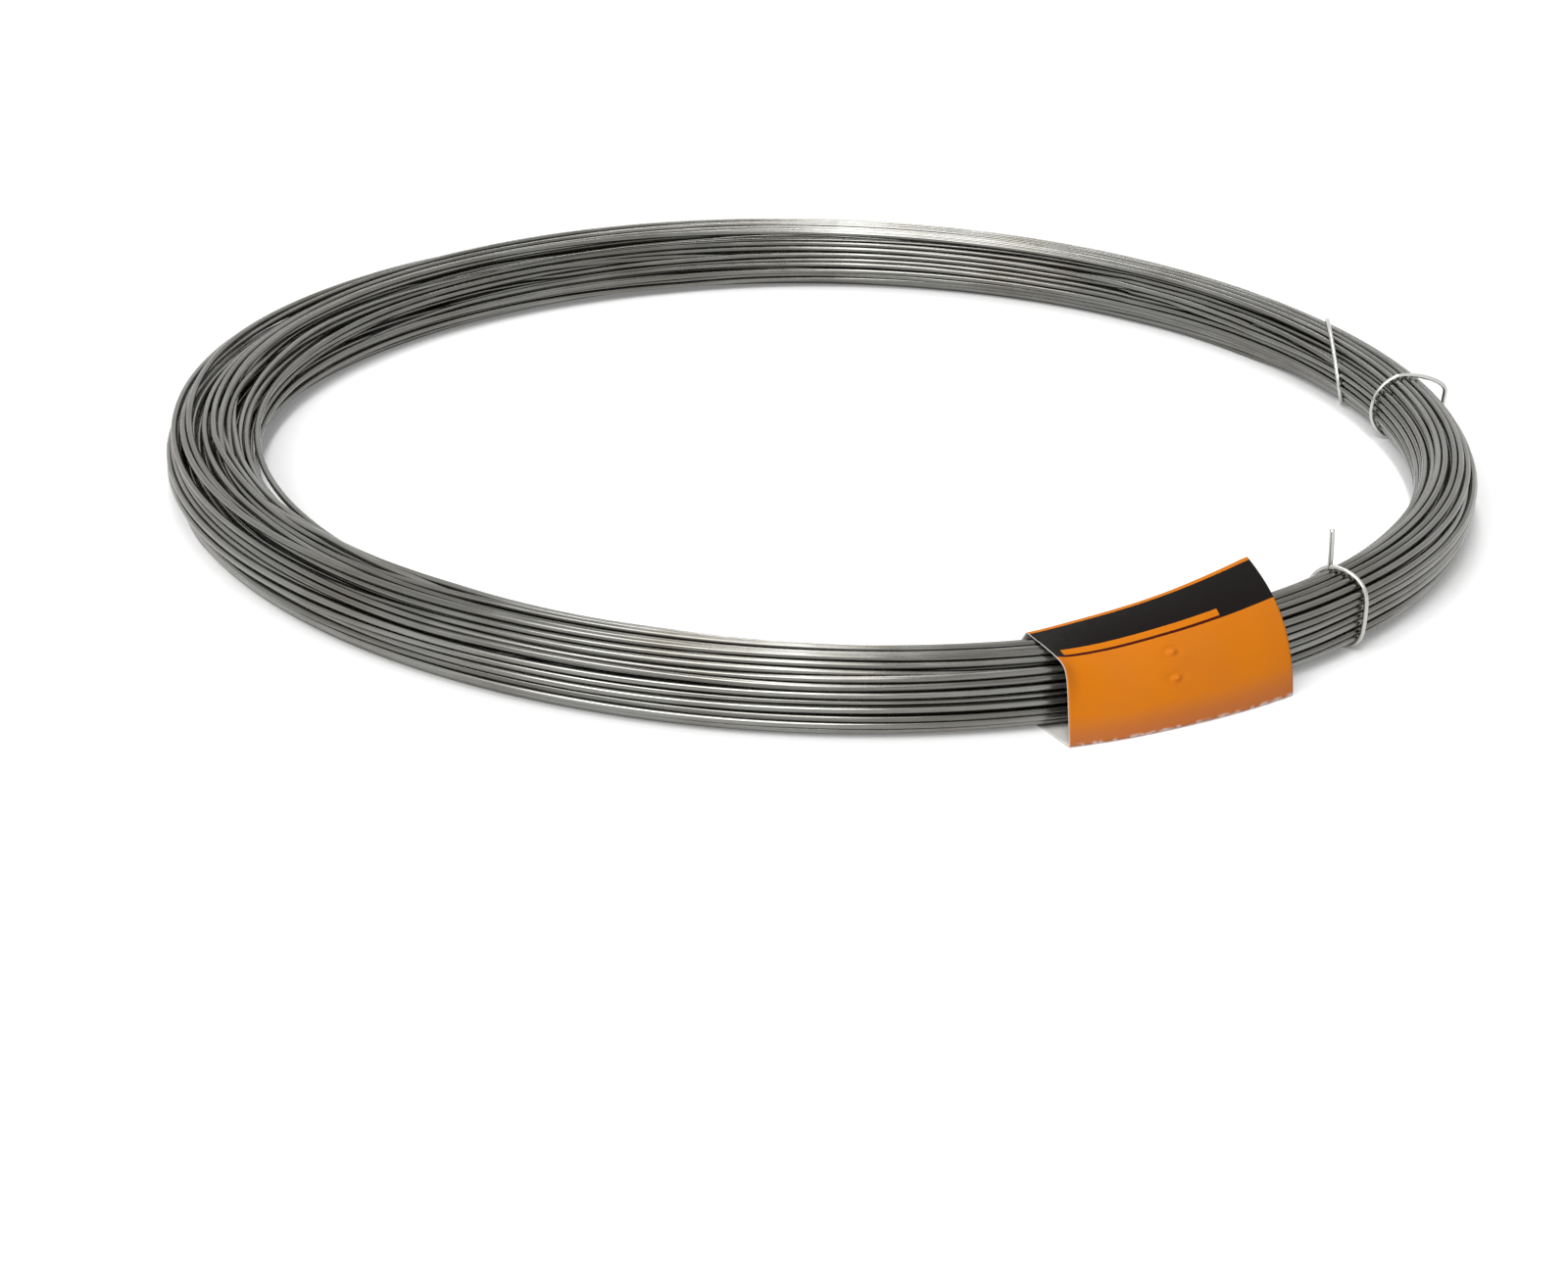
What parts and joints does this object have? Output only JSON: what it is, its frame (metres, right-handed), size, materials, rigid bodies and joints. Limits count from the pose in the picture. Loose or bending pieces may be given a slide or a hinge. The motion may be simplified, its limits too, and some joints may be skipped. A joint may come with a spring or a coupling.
{
  "type": "coil of annealed steel wire",
  "caption": "Round open coil of dark annealed steel wire, its turns bundled by tie wires, with a folded paper sleeve as its label.",
  "frame": {"origin": "on the coil's axis, in the plane of the floor that it lies on", "axes": "+Z along the coil's axis, upwards; -Y towards the front that the picture shows; +X to the right"},
  "size_m": [0.3449, 0.34, 0.0282],
  "materials": {
    "annealed_wire": "drawn and annealed, satin grey with a dark oxide tint",
    "tie_wire": "drawn, brighter than the coil",
    "label_paper": "printed orange paper, lightly scuffed"
  },
  "bodies": {
    "root": {"wire_coil": "annealed_wire", "front_tie": "tie_wire", "middle_tie": "tie_wire", "back_tie": "tie_wire", "paper_label": "label_paper"}
  },
  "joints": []
}
